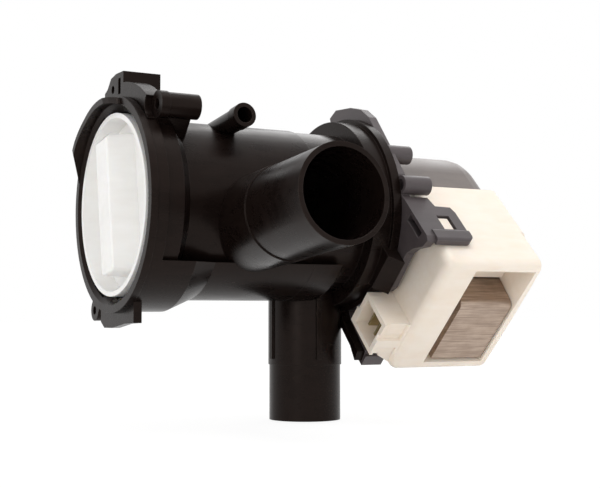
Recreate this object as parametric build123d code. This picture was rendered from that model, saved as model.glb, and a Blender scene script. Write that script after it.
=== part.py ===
from build123d import *
import os
from math import cos, radians, sin

os.makedirs("parts", exist_ok=True)

# Frame: the origin is the centre of the filter mouth in the plane of the collar's lip.
# +X runs along the pump axis from the mouth to the motor, +Z is up, -Y is the inlet side.
# All lengths are millimetres and all angles are degrees.
# The motor has its own directions across the axis: m points from the rotor to the yoke,
# and s points to the inlet side and up.

# Clearances
turn_gap = 0.05
press_gap = 0.01
fit_gap = 0.05
seal_gap = 0.10
body_gap = 0.30
wrap_gap = 0.30
slide_gap = 0.50
end_gap = 0.30
overlap = 0.01
cut_over = 1.0
half_turn = 180.0

# Collar and mouth
lip_step = 0.5
lip_len = 2.5
collar_step = 6.4
collar_wall = 2.1
collar_len = 6.3
mouth_bevel_len = 2.6
cup_step = 5.0
cup_wall = 3.0
cup_len = 12.0

# Raised part of the lip as (angle from +Y to +Z, height in front of the lip)
hood_middle_angle = 60.0
hood_outline = [(18, 0), (36, 4.0), (42, 4.0), (60, 3.4), (90, 3.2), (96, 2.4), (103, 1.2), (103, 0)]

# Filter tube
tube_r = 29.2
tube_wall = 2.4
tube_shoulder_x = 16.0
tube_step_x = 64.3
rear_tube_r = 28.7
partition_x = 62.0
partition_len = 2.3
eye_r = 11.5
seat_cone_len = 1.8

# Lower half shell of the filter tube
sump_step = 2.5
sump_edge_drop = 9.7
sump_end_x = 75.0
belly_start_x = 4.0
belly_end_x = 18.0
belly_slope_len = 9.0

# Pump chamber
chamber_wall = 2.8
chamber_wall_x = 83.0
chamber_r = 33.7
chamber_rim_step = 1.5
chamber_rim_len = 3.2
chamber_end_x = 92.7
seat_wall = 2.1
seat_len = 7.5

# Step from each spigot's hose seat to its root
spigot_step = 0.4

# Inlet spigot
inlet_x = 42.4
inlet_mouth_y = -80.5
inlet_mouth_z = -0.9
inlet_rise = 5.3
inlet_r = 15.5
inlet_seat_len = 34.0
inlet_bore_r = 13.9

# Outlet spigot
outlet_y = 8.0
outlet_r = 13.0
outlet_seat_len = 20.0
outlet_wall = 2.4
outlet_flange_gap = 1.2
outlet_end_z = -74.7
outlet_rib_end_z = -52.6
outlet_rib_height = 1.1
outlet_rib_thick = 1.8
outlet_rib_shift_x = -2.0

# Bypass nipple
nipple_x = 35.4
nipple_inset_y = 0.2
nipple_inset_z = 0.3
nipple_rise = 7.0
nipple_r = 3.7
nipple_collar_r = 4.05
nipple_collar_len = 5.0
nipple_bore_r = 2.7
nipple_bore_len = 26.0

# Screw boss beside the mouth
boss_angle = 131.28
boss_reach = 4.72
boss_front_x = 5.5
boss_len = 13.8
boss_r = 4.1
boss_head_r = 4.4
boss_head_len = 3.0
boss_web_thick = 3.2
boss_web_sink = 7.6
boss_web_short = 1.6
screw_hole_r = 1.8
screw_hole_len = 11.8

# Lug with the second screw hole
lug_foot_gap = 6.5
lug_reach = 5.77
lug_front_x = 2.5
lug_len = 3.2
lug_r = 3.6
lug_hole_r = 1.5

# Top bracket of the collar, its plate outline as (y, height above the collar)
bracket_front_x = 3.0
bracket_len = 13.3
bracket_plate_len = 3.4
bracket_near_y = -3.0
bracket_sink = 4.6
bracket_outline = [(-3.0, 9.2), (4.0, 9.3), (8.9, 8.4), (12.2, 5.2), (14.8, 4.1), (15.0, -4.6)]
bracket_wall = 2.4
bracket_rib_y = 9.0
bracket_rib_thick = 3.0
bracket_rib_len = 8.3
bracket_rib_drop = 5.5
bracket_slot_near_y = -0.5
bracket_slot_width = 2.3
bracket_slot_low = 1.9
bracket_slot_high = 7.4
bracket_hole_y = 6.8
bracket_hole_height = 4.3
bracket_hole_r = 1.4
pad_height = 5.4
pad_len = 5.5
pad_start_angle = 80.0
pad_end_angle = 134.0

# Foot under the collar as (y, depth under the collar)
foot_front_x = 2.5
foot_len = 2.8
foot_outline = [(-15.3, -9.6), (-15.3, 3.6), (-7, 3.9), (4.6, 5.4), (12, 5.4), (15.4, 3.4), (15.4, -9.6)]

# Filter cap
cap_front_x = 0.4
cap_rim_gap = 0.65
cap_rim_thick = 1.7
cap_recess = 7.0
cap_floor = 2.0
cap_neck_len = 11.8
cap_neck_wall = 4.3
grip_end_gap = 5.55
grip_thick = 10.6
grip_taper = 1.0
grip_proud = 2.9
grip_lean = 9.6
grip_wall = 2.0
grip_corner_r = 1.5
grip_edge_r = 0.8
grip_notch = 2.4
bayonet_count = 3
bayonet_first_angle = 180.0
bayonet_lug_angle = 22.0
bayonet_turn_angle = 60.0
bayonet_play_angle = 1.0
bayonet_height = 1.55
bayonet_len = 2.4
bayonet_x = 6.2

# Cap seal
cap_seal_x = 16.8
cap_seal_wire_r = 1.45

# Filter comb
comb_gap = 1.2
comb_thick = 3.2
comb_end_x = 59.5
comb_hoop_len = 2.4
comb_spigot_len = 5.0
comb_spigot_wall = 2.6
comb_tooth_thick = 2.2
comb_tooth_inset = 0.2
comb_tooth_count = 16
comb_open_half_angle = 38.0

# Shaft
shaft_r = 2.0
shaft_front_x = 71.5
shaft_chamfer = 0.3

# Impeller
impeller_front_x = 68.0
impeller_len = 15.6
impeller_side_gap = 4.4
impeller_nose = 4.0
hub_r = 9.2
hub_pocket_r = 7.6
hub_pocket_depth = 7.6
vane_count = 6
vane_thick = 2.0
back_plate_thick = 1.6
hub_cap_len = 1.6
hub_cap_bore_r = 3.8

# Drive dog inside the impeller hub
dog_r = 3.3
dog_len = 6.6
dog_arm_angle = 24.0
stop_angle = 24.0
dog_rest_angle = 3.0

# Latch and low ear on the chamber's rim, the latch as (distance in front of the rim's end, m)
latch_outline = [(5.3, 30.0), (5.3, 36.2), (0, 39.5), (0, 30.0)]
latch_s0 = -2.2
latch_s1 = 12.8
low_ear_len = 3.2
low_ear_inner = [(-30.0, 14.0), (-22.0, 18.0), (-26.5, 28.0), (-27.5, 43.0)]
low_ear_outer = [(-31.2, 43.7), (-29.6, 37.9), (-29.4, 29.5), (-32.7, 26.3)]

# Motor flange, its outlines as (s, m)
motor_angle = 45.0
flange_thick = 3.2
spigot_len = 5.9
chamber_seal_wire_r = 1.35
chamber_seal_back = 2.9
top_lug_outline = [(17.1, -36.6), (22.0, -35.2), (29.2, -27.2), (32.9, -21.1), (34.4, -14.6)]
plate_side_end = (31.7, 14.3)
arm_start_m = 19.8
plate_low_edge = [(0.3, 38.5), (-2.6, 37.4), (-2.6, 30.0)]
low_arm_inner = [(-30.0, 14.0), (-22.0, 18.0), (-25.5, 28.0), (-26.5, 43.0)]
low_arm_outer = [(-30.8, 43.5), (-29.3, 38.0), (-29.2, 29.0), (-31.5, 24.0)]
low_foot_s0 = -32.8
low_foot_s1 = -28.3
low_foot_m0 = 42.0
low_foot_m1 = 44.7
low_foot_len = 5.1

# End of the upper arm as (distance inside its outer side, m)
arm_end_outline = [(0, 42.4), (1.0, 44.2), (4.4, 43.3), (8.9, 39.5), (12.4, 37.8)]

# Bosses on the motor flange
flange_boss_r = 3.3
flange_boss_len = 7.8
upper_boss_reach = 4.4
upper_boss_m = 1.6
lower_boss_reach = 4.2
lower_boss_m = 18.5
flange_hole_r = 2.0

# Snap loop on the upper arm, its outline as (distance behind the plate, m)
loop_thick = 1.9
loop_outline = [(0, 22.5), (7.0, 22.5), (8.0, 26.9), (14.2, 27.2), (15.1, 29.9), (15.1, 45.0), (0, 45.0)]
loop_bar_thick = 2.6
loop_bar_m0 = 39.4
loop_corner_r = 2.6
loop_bar_r = 1.1
loop_window_start = 6.0
loop_window_len = 5.2
loop_window_m0 = 31.9
loop_window_m1 = 38.9
arm_slot_s0 = 24.2
arm_slot_s1 = 26.8
arm_slot_m0 = 30.2
arm_slot_m1 = 39.6

# Rotor can
can_bore_r = 15.3
can_wall = 1.0
can_end_thick = 1.0
can_pocket_wall = 1.25

# Bearings, seal and thrust washers
carrier_gap = 2.1
seal_pocket_r = 7.0
seal_pocket_len = 3.8
seal_room = 0.1
seal_lip_len = 0.7
seal_lip_height = 1.2
bearing_r = 5.1
bearing_len = 4.6
bearing_set_back = 6.1
mount_thick = 2.75
mount_inset = 0.2
carrier_tail = 2.0
carrier_bore_gap = 1.0
washer_r = 5.4
washer_thick = 0.8

# Rotor
rotor_gap = 0.9
magnet_bore_r = 7.0
magnet_len = 25.5
magnet_set_back = 7.5
hub_flange_inset = 0.8
hub_flange_thick = 1.8
hub_tail = 0.2

# Motor shroud
shroud_gap = 0.7
shroud_wall = 1.2
shroud_dome_len = 13.0
shroud_dome_gap = 2.7
shroud_edge_m = 9.0

# Stator iron
stack_shift = 4.5
stack_len = 22.0
pole_gap = 0.4
pole_outer_s = 21.0
leg_width = 11.6
leg_tail = 1.0
tenon_width = 4.0
tenon_len = 4.0
yoke_height = 18.3
yoke_flat_s = 6.0
yoke_step_s = 7.9
yoke_step_height = 5.0
yoke_round = 2.5

# Coils
bobbin_start_gap = 1.8
bobbin_len = 15.0
bobbin_wall = 0.9
bobbin_flange = 3.1
coil_inset = 0.2

# Stator cover
coil_room = 0.4
cover_wall = 1.5
cover_low_extra = 1.0
cover_front_reach = 15.4
cover_start = 5.4
cover_proud = 0.7
cover_slant = 3.0
cover_round = 3.2
cover_lead_len = 10.6
cover_floor = 1.2
window_gap_s = 1.4
window_front_gap = 3.0
window_rear_gap = 0.6
window_depth = 4.0
catch_height = 1.5
catch_room = 0.7

# Thicker lower side of the cover in front as (x, s)
cheek_outline = [(92.1, -20), (92.1, -21.8), (98.1, -25.3), (101.7, -27.1), (110.3, -27.9), (110.3, -20)]
cheek_m0 = 38.0
cheek_m1 = 50.0

# Connector socket
socket_len = 10.5
socket_s0 = -20.1
socket_s1 = -5.4
socket_m0 = 35.1
socket_m1 = 51.5
socket_wall = 1.8
socket_depth = 9.5
socket_near_s = -10.7
socket_slot_s = -13.1
socket_far_s = -16.7
socket_tab_s = -13.6
socket_tab_height = 1.1
socket_recess = 0.8
socket_slot_depth = 1.2
socket_recess_start = 1.1
socket_recess_len = 8.4

# Blade terminals
blade_width = 6.3
blade_thick = 0.8
blade_out = 7.0
blade_root = 5.5
blade_pitch = 5.0

# Sizes of the housing that follow from the ones above
collar_r = tube_r + collar_step
cup_r = tube_r + cup_step
sump_r = tube_r + sump_step
sump_start_z = sump_edge_drop - tube_r
lip_r = collar_r + lip_step
lip_bore_r = collar_r - collar_wall
cup_bore_r = cup_r - cup_wall
tube_bore_r = tube_r - tube_wall
chamber_bore_r = rear_tube_r - chamber_wall
chamber_rim_r = chamber_r + chamber_rim_step
seat_bore_r = chamber_r - seat_wall
seat_start_x = chamber_end_x - seat_len
outlet_x = chamber_end_x - outlet_r - outlet_flange_gap
outlet_bore_r = outlet_r - outlet_wall
boss_y = (collar_r + boss_reach) * cos(radians(boss_angle))
boss_z = (collar_r + boss_reach) * sin(radians(boss_angle))
lug_y = max(y for y, depth in foot_outline) + lug_foot_gap
lug_z = -(((collar_r + lug_reach) ** 2 - lug_y**2) ** 0.5)
pad_r = collar_r + pad_height
bracket_root_z = collar_r - bracket_sink
bracket_slot_low_z = collar_r + bracket_slot_low
bracket_slot_high_z = collar_r + bracket_slot_high
bracket_hole_z = collar_r + bracket_hole_height

# Directions of the inlet and the nipple
inlet_dir = Vector(0, -cos(radians(inlet_rise)), sin(radians(inlet_rise)))
inlet_mouth = Vector(inlet_x, inlet_mouth_y, inlet_mouth_z)
nipple_dir = Vector(0, -cos(radians(nipple_rise)), sin(radians(nipple_rise)))
nipple_mouth = Vector(nipple_x, nipple_inset_y - tube_r, tube_r - nipple_inset_z)

# Sizes of the filter that follow
cap_rim_r = cup_bore_r - cap_rim_gap
cap_floor_x = cap_front_x + cap_recess
cap_back_x = cap_floor_x + cap_floor
grip_len = 2 * (cap_rim_r - cap_rim_thick - grip_end_gap)
cap_neck_r = tube_bore_r - slide_gap
cap_neck_bore_r = cap_neck_r - cap_neck_wall
cap_neck_end_x = cap_back_x + cap_neck_len
cap_seal_mean_r = tube_bore_r - body_gap - cap_seal_wire_r
cap_groove_r = cap_seal_mean_r - cap_seal_wire_r - body_gap
cap_groove_half = cap_seal_wire_r + body_gap
bayonet_r = cap_rim_r + bayonet_height
comb_r = tube_bore_r - comb_gap
comb_inner_r = comb_r - comb_thick

# Sizes of the impeller and the rotor that follow
impeller_r = chamber_bore_r - impeller_side_gap
impeller_rear_x = impeller_front_x + impeller_len
hub_pocket_x = impeller_rear_x - hub_pocket_depth
dog_reach_r = hub_pocket_r - body_gap
stop_inner_r = dog_r + body_gap
carrier_front_x = impeller_rear_x + hub_cap_len + carrier_gap
front_bearing_x = carrier_front_x + bearing_set_back
carrier_rear_x = front_bearing_x + bearing_len + carrier_tail
front_washer_x = carrier_rear_x + end_gap
hub_core_x0 = front_washer_x + washer_thick + end_gap
magnet_x0 = hub_core_x0 + magnet_set_back
magnet_x1 = magnet_x0 + magnet_len
hub_core_x1 = magnet_x1 + hub_flange_thick + hub_tail
rear_washer_x = hub_core_x1 + end_gap
rear_bearing_x = rear_washer_x + washer_thick + end_gap
shaft_rear_x = rear_bearing_x + bearing_len - end_gap
magnet_r = can_bore_r - rotor_gap
hub_flange_r = magnet_r - hub_flange_inset

# Sizes of the flange and the can that follow
flange_front_x = chamber_end_x
plate_rear_x = flange_front_x + flange_thick
spigot_r = seat_bore_r - slide_gap
spigot_x = flange_front_x - spigot_len
chamber_seal_x = flange_front_x - chamber_seal_back
chamber_seal_mean_r = seat_bore_r - seal_gap - chamber_seal_wire_r
mount_r = bearing_r + fit_gap + mount_thick
can_r = can_bore_r + can_wall
can_pocket_r = mount_r + fit_gap + can_pocket_wall
can_floor_x = rear_bearing_x - end_gap
can_inner_end_x = rear_bearing_x + bearing_len + end_gap
can_end_x = can_inner_end_x + can_end_thick
flange_boss_end_x = plate_rear_x + flange_boss_len

# Sizes of the stator that follow
stack_x0 = magnet_x0 + stack_shift
stack_x1 = stack_x0 + stack_len
pole_bore_r = can_r + pole_gap
leg_inner_s = pole_outer_s - leg_width
tenon_s = pole_outer_s - leg_width / 2
bobbin_m0 = pole_bore_r + bobbin_start_gap
bobbin_m1 = bobbin_m0 + bobbin_len
leg_end_m = bobbin_m1 + leg_tail
yoke_step_m = leg_end_m + yoke_step_height
yoke_end_m = leg_end_m + yoke_height
coil_build = bobbin_flange - coil_inset
cover_s = pole_outer_s + bobbin_flange + coil_room + cover_wall
cover_low_s = -cover_s - cover_low_extra
cover_m0 = bobbin_m0 - cover_start
cover_m1 = yoke_end_m + cover_proud
cover_x0 = stack_x0 - cover_front_reach
cover_x1 = stack_x1 + bobbin_flange + coil_room + cover_wall
socket_x0 = cover_x0 - socket_len
socket_floor_x = socket_x0 + socket_depth
loop_s = cover_s + wrap_gap
arm_s = loop_s + loop_thick
upper_boss_s = cover_s + upper_boss_reach
lower_boss_s = cover_s + lower_boss_reach
shroud_inner_r = pole_outer_s + shroud_gap
shroud_r = shroud_inner_r + shroud_wall
shroud_end_x = can_end_x + shroud_dome_gap
shroud_dome_x = shroud_end_x - shroud_dome_len


def tube_solid(radius, x0, x1):
    """Solid cylinder about the pump axis between two X planes."""
    return Pos((x0 + x1) / 2, 0, 0) * Rot(0, 90, 0) * Cylinder(radius, x1 - x0)


def ring(outer_r, inner_r, x0, x1):
    """Ring about the pump axis between two X planes."""
    return tube_solid(outer_r, x0, x1) - tube_solid(inner_r, x0 - cut_over, x1 + cut_over)


def rod_x(radius, y, z, x0, x1):
    """Solid cylinder parallel to the pump axis."""
    return Pos(0, y, z) * tube_solid(radius, x0, x1)


def turned(points):
    """Body turned about the pump axis from (x, radius) points."""
    face = make_face(Polyline(*points, close=True))
    return revolve(Plane.XZ * face, Axis.X)


def block(x0, x1, y0, y1, z0, z1):
    """Box between two corners in the pump frame."""
    centre = Pos((x0 + x1) / 2, (y0 + y1) / 2, (z0 + z1) / 2)
    return centre * Box(x1 - x0, y1 - y0, z1 - z0)


def round_tube(radius, start, end):
    """Solid cylinder between two points."""
    path = Line(start, end)
    plane = Plane(origin=start, z_dir=path % 0)
    return extrude(plane * Circle(radius), amount=path.length)


def torus_x(x, mean_r, wire_r):
    """Seal ring with a round section about the pump axis."""
    return Pos(x, 0, 0) * Rot(0, 90, 0) * Torus(mean_r, wire_r)


def cross_plane(x):
    """Plane across the pump axis whose axes are Y and Z."""
    return Plane(origin=(x, 0, 0), x_dir=(0, 1, 0), z_dir=(1, 0, 0))


def cross_prism(points, x0, x1):
    """Prism along X from (y, z) points."""
    face = make_face(Polyline(*points, close=True))
    return extrude(cross_plane(x0) * face, amount=x1 - x0)


def wedge(angle0, angle1, x0, x1):
    """Sector prism about the pump axis; angles turn from +Y to +Z."""
    reach = 2 * collar_r
    steps = 6
    rim = []
    for i in range(steps + 1):
        turn = radians(angle0 + (angle1 - angle0) * i / steps)
        rim.append((reach * cos(turn), reach * sin(turn)))
    return cross_prism([(0, 0), *rim], x0, x1)


def radial_web(y, z, root_r, tip_r, thick, x0, x1):
    """Flat web that runs out from the pump axis towards a point."""
    plane = Plane(origin=(x0, 0, 0), x_dir=(0, y, z), z_dir=(1, 0, 0))
    web = Pos((root_r + tip_r) / 2, 0) * Rectangle(tip_r - root_r, thick)
    return extrude(plane * web, amount=x1 - x0)


def motor_plane(x):
    """Plane across the pump axis whose axes are s and m."""
    turn = radians(motor_angle)
    return Plane(origin=(x, 0, 0), x_dir=(0, -cos(turn), sin(turn)), z_dir=(1, 0, 0))


def motor_prism(points, x0, x1):
    """Prism along X from (s, m) points."""
    face = make_face(Polyline(*points, close=True))
    return extrude(motor_plane(x0) * face, amount=x1 - x0)


def motor_box(s0, s1, m0, m1, x0, x1):
    """Box in the motor's own directions."""
    return motor_prism([(s0, m0), (s1, m0), (s1, m1), (s0, m1)], x0, x1)


def motor_rod(s, m, radius, x0, x1):
    """Cylinder along X placed in the motor's own directions."""
    return extrude(motor_plane(x0) * Pos(s, m) * Circle(radius), amount=x1 - x0)


def side_prism(points, s0, s1):
    """Prism along s from (x, m) points."""
    across = motor_plane(0).x_dir
    plane = Plane(origin=across * s0, x_dir=(1, 0, 0), z_dir=across)
    face = make_face(Polyline(*[(x, -m) for x, m in points], close=True))
    return extrude(plane * face, amount=s1 - s0)


def deep_prism(points, m0, m1):
    """Prism along m from (x, s) points."""
    middle = motor_plane(0)
    plane = Plane(origin=middle.y_dir * m0, x_dir=(1, 0, 0), z_dir=middle.y_dir)
    face = make_face(Polyline(*points, close=True))
    return extrude(plane * face, amount=m1 - m0)


def collar_hood():
    """Raised part of the lip in the far upper quarter."""
    middle = radians(hood_middle_angle)
    height = max(rise for angle, rise in hood_outline)
    mean_r = collar_r - collar_wall / 2
    points = [(overlap, mean_r * sin(radians(hood_outline[-1][0] - hood_middle_angle)))]
    points.append((overlap, mean_r * sin(radians(hood_outline[0][0] - hood_middle_angle))))
    for angle, rise in hood_outline:
        points.append((-rise, mean_r * sin(radians(angle - hood_middle_angle))))
    outward = Vector(0, cos(middle), sin(middle))
    along = Vector(0, -sin(middle), cos(middle))
    plane = Plane(origin=(0, 0, 0), x_dir=(1, 0, 0), z_dir=Vector(1, 0, 0).cross(along))
    face = make_face(Polyline(*points, close=True))
    outline = extrude(plane * face, amount=2 * collar_r, both=True)
    front = Plane(origin=(0, 0, 0), z_dir=outward)
    half = extrude(front * Rectangle(4 * collar_r, 4 * collar_r), amount=2 * collar_r)
    return ring(collar_r, lip_bore_r, -height, overlap) & outline & half


def housing_skin():
    """Outer form of the housing without its hollows."""
    rim_x = chamber_end_x - chamber_rim_len
    shell = turned(
        [
            (0, 0),
            (0, lip_r),
            (lip_len, lip_r),
            (lip_len, collar_r),
            (collar_len, collar_r),
            (collar_len, cup_r),
            (cup_len, cup_r),
            (tube_shoulder_x, tube_r),
            (tube_step_x, tube_r),
            (tube_step_x, rear_tube_r),
            (chamber_wall_x, rear_tube_r),
            (chamber_wall_x, chamber_r),
            (rim_x, chamber_r),
            (rim_x, chamber_rim_r),
            (chamber_end_x, chamber_rim_r),
            (chamber_end_x, 0),
        ]
    )
    belly = turned(
        [
            (belly_start_x, 0),
            (belly_start_x, collar_r),
            (belly_end_x, collar_r),
            (belly_end_x + belly_slope_len, sump_r),
            (sump_end_x, sump_r),
            (sump_end_x, 0),
        ]
    )
    low = block(0, chamber_end_x, -collar_r, collar_r, -collar_r, sump_start_z)
    return shell + (belly & low)


def water_ways():
    """Bores of the inlet, the outlet and the nipple."""
    inlet_root = inlet_mouth - inlet_dir * (abs(inlet_mouth_y) - tube_r / 2)
    ways = round_tube(inlet_bore_r, inlet_root, inlet_mouth + inlet_dir)
    outlet_root = (outlet_x, outlet_y, -rear_tube_r / 2)
    ways += round_tube(outlet_bore_r, outlet_root, (outlet_x, outlet_y, outlet_end_z - cut_over))
    nipple_root = nipple_mouth - nipple_dir * nipple_bore_len
    return ways + round_tube(nipple_bore_r, nipple_root, nipple_mouth + nipple_dir)


def fitted(shape):
    """Outer piece that stands on the housing's skin, with the water ways open."""
    return shape - housing_skin() - chamber_ears() - water_ways()


def make_inlet_spigot():
    """Large spigot on the inlet side with a seat for its hose."""
    root = inlet_mouth - inlet_dir * (abs(inlet_mouth_y) - tube_r / 2)
    seat_end = inlet_mouth - inlet_dir * inlet_seat_len
    spigot = round_tube(inlet_r, root, inlet_mouth)
    return fitted(spigot + round_tube(inlet_r + spigot_step, root, seat_end))


def make_outlet_spigot():
    """Lower spigot with a seat for its hose and two ribs at its root."""
    root_z = -rear_tube_r / 2
    root = (outlet_x, outlet_y, root_z)
    seat_end_z = outlet_end_z + outlet_seat_len
    spigot = round_tube(outlet_r, root, (outlet_x, outlet_y, outlet_end_z))
    spigot += round_tube(outlet_r + spigot_step, root, (outlet_x, outlet_y, seat_end_z))
    reach = outlet_r + outlet_rib_height
    half = outlet_rib_thick / 2
    rib_x = outlet_x + outlet_rib_shift_x
    spigot += block(outlet_x - reach, outlet_x, outlet_y - half, outlet_y + half, outlet_rib_end_z, root_z)
    spigot += block(rib_x - half, rib_x + half, outlet_y - reach, outlet_y, outlet_rib_end_z, root_z)
    return fitted(spigot)


def make_bypass_nipple():
    """Small tube with a thicker end beside the inlet."""
    root = nipple_mouth - nipple_dir * abs(nipple_mouth.Y)
    nipple = round_tube(nipple_r, root, nipple_mouth)
    nipple += round_tube(nipple_collar_r, nipple_mouth - nipple_dir * nipple_collar_len, nipple_mouth)
    return fitted(nipple)


def boss_form():
    """Outer form of the long boss beside the mouth with its web."""
    end_x = boss_front_x + boss_len
    reach = Vector(0, boss_y, boss_z).length
    parts = rod_x(boss_r, boss_y, boss_z, boss_front_x, end_x)
    parts += rod_x(boss_head_r, boss_y, boss_z, boss_front_x, boss_front_x + boss_head_len)
    web_end_x = end_x - boss_web_short
    web = radial_web(boss_y, boss_z, collar_r - boss_web_sink, reach, boss_web_thick, boss_front_x, web_end_x)
    return parts + web


def bracket_form():
    """Slotted plate over the collar with two ribs and a curved pad."""
    plate_end_x = bracket_front_x + bracket_plate_len
    rib_end_x = bracket_front_x + bracket_rib_len
    outline = [(y, collar_r + height) for y, height in bracket_outline]
    top_z = outline[0][1]
    rib_top_z = top_z - bracket_rib_drop
    plate = cross_prism([(bracket_near_y, bracket_root_z), *outline], bracket_front_x, plate_end_x)
    wall_end_x = bracket_front_x + bracket_len
    wall_y = bracket_near_y + bracket_wall
    parts = plate + block(bracket_front_x, wall_end_x, bracket_near_y, wall_y, bracket_root_z, top_z)
    rib_far_y = bracket_rib_y + bracket_rib_thick
    parts += block(bracket_front_x, rib_end_x, bracket_rib_y, rib_far_y, bracket_root_z, rib_top_z)
    pad_end_x = bracket_front_x + pad_len
    pad = ring(pad_r, lip_bore_r, bracket_front_x, pad_end_x)
    parts += pad & wedge(pad_start_angle, pad_end_angle, 0, bracket_len)
    slot_y = bracket_slot_near_y + bracket_slot_width
    hole_end_x = pad_end_x + cut_over
    parts -= block(0, hole_end_x, bracket_slot_near_y, slot_y, bracket_slot_low_z, bracket_slot_high_z)
    parts -= rod_x(bracket_hole_r, bracket_hole_y, bracket_hole_z, 0, hole_end_x)
    return parts - rod_x(boss_head_r, boss_y, boss_z, 0, boss_front_x) - boss_form()


def make_screw_boss():
    """Boss with the blind hole for a screw."""
    hole = rod_x(screw_hole_r, boss_y, boss_z, boss_front_x - cut_over, boss_front_x + screw_hole_len)
    return fitted(boss_form()) - hole


def make_screw_lug():
    """Lug under the collar with the second screw hole."""
    end_x = lug_front_x + lug_len
    reach = Vector(0, lug_y, lug_z).length
    lug = rod_x(lug_r, lug_y, lug_z, lug_front_x, end_x)
    lug += radial_web(lug_y, lug_z, lip_bore_r, reach, 2 * lug_r, lug_front_x, end_x)
    return fitted(lug) - rod_x(lug_hole_r, lug_y, lug_z, lug_front_x - cut_over, end_x + cut_over)


def chamber_ears():
    """Latch wedge and low ear on the rim of the pump chamber."""
    latch = side_prism([(chamber_end_x - front, m) for front, m in latch_outline], latch_s0, latch_s1)
    return latch + motor_prism([*low_ear_inner, *low_ear_outer], chamber_end_x - low_ear_len, chamber_end_x)


def bayonet_angles():
    """Angle of the middle of each bayonet lug."""
    return [bayonet_first_angle + 360 / bayonet_count * i for i in range(bayonet_count)]


def bayonet_tracks():
    """Entry slots and turning tracks for the cap's bayonet lugs."""
    track_r = bayonet_r + body_gap
    track_x0 = bayonet_x - body_gap
    track_x1 = bayonet_x + bayonet_len + body_gap
    side = bayonet_lug_angle / 2 + bayonet_play_angle
    track = ring(track_r, cap_rim_r, track_x0, track_x1)
    entry = ring(track_r, cap_rim_r, overlap, track_x1)
    tracks = []
    for middle in bayonet_angles():
        tracks.append(track & wedge(middle - side, middle + side + bayonet_turn_angle, 0, cup_len))
        tracks.append(entry & wedge(middle - side, middle + side, 0, cup_len))
    return tracks


def housing_bore():
    """Room for the filter, the impeller and the motor flange's spigot."""
    seat_x = cap_back_x + body_gap
    cone_x = seat_x + seat_cone_len
    chamber_x = partition_x + partition_len
    return turned(
        [
            (-cut_over, 0),
            (-cut_over, lip_bore_r),
            (0, lip_bore_r),
            (mouth_bevel_len, cup_bore_r),
            (seat_x, cup_bore_r),
            (seat_x, tube_bore_r + seat_cone_len),
            (cone_x, tube_bore_r),
            (partition_x, tube_bore_r),
            (partition_x, eye_r),
            (chamber_x, eye_r),
            (chamber_x, chamber_bore_r),
            (seat_start_x, chamber_bore_r),
            (seat_start_x, seat_bore_r),
            (chamber_end_x + cut_over, seat_bore_r),
            (chamber_end_x + cut_over, 0),
        ]
    )


def housing_core():
    """Filter tube, sump shell and pump chamber in one hollow body."""
    body = housing_skin() + chamber_ears() - housing_bore() - water_ways()
    for track in bayonet_tracks():
        body -= track
    return body + collar_hood()


def half_space(x, towards):
    """Large block on one side of a plane across the pump axis."""
    reach = 2 * chamber_end_x
    x0, x1 = sorted((x, x + towards * reach))
    return block(x0, x1, -reach, reach, -reach, reach)


def grip_bar(inset, x0, x1):
    """Tapered bar about the pump axis, smaller all round by the inset."""
    front_thick = grip_thick - 2 * inset
    front_len = grip_len - 2 * inset
    front = cross_plane(x0) * RectangleRounded(front_thick, front_len, grip_corner_r)
    root_thick = front_thick + grip_taper
    root = cross_plane(x1) * RectangleRounded(root_thick, front_len + grip_taper, grip_corner_r)
    return loft([front, root])


def make_filter_cap():
    """White plug with rim, recess, hollow grip bar, neck and bayonet lugs."""
    body = tube_solid(cap_rim_r, cap_front_x, cap_back_x)
    body -= tube_solid(cap_rim_r - cap_rim_thick, cap_front_x - cut_over, cap_floor_x)
    body += ring(cap_neck_r, cap_neck_bore_r, cap_back_x - overlap, cap_neck_end_x)
    groove_x0 = cap_seal_x - cap_groove_half
    body -= ring(cap_neck_r + cut_over, cap_groove_r, groove_x0, groove_x0 + 2 * cap_groove_half)
    grip_x = cap_front_x - grip_proud
    grip = grip_bar(0, grip_x, cap_floor_x + overlap)
    grip = fillet(grip.edges().filter_by(Plane.YZ).group_by(Axis.X)[0], grip_edge_r)
    grip -= Pos(grip_x, 0, grip_len / 2) * Rot(0, 45, 0) * Box(grip_notch, 2 * grip_thick, grip_notch)
    body += Rot(-grip_lean, 0, 0) * grip
    body -= Rot(-grip_lean, 0, 0) * grip_bar(grip_wall, grip_x + grip_wall, cap_back_x + cut_over)
    for middle in bayonet_angles():
        lug = ring(bayonet_r, cap_rim_r - cap_rim_thick / 2, bayonet_x, bayonet_x + bayonet_len)
        body += lug & wedge(middle - bayonet_lug_angle / 2, middle + bayonet_lug_angle / 2, 0, cup_len)
    return body


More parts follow.
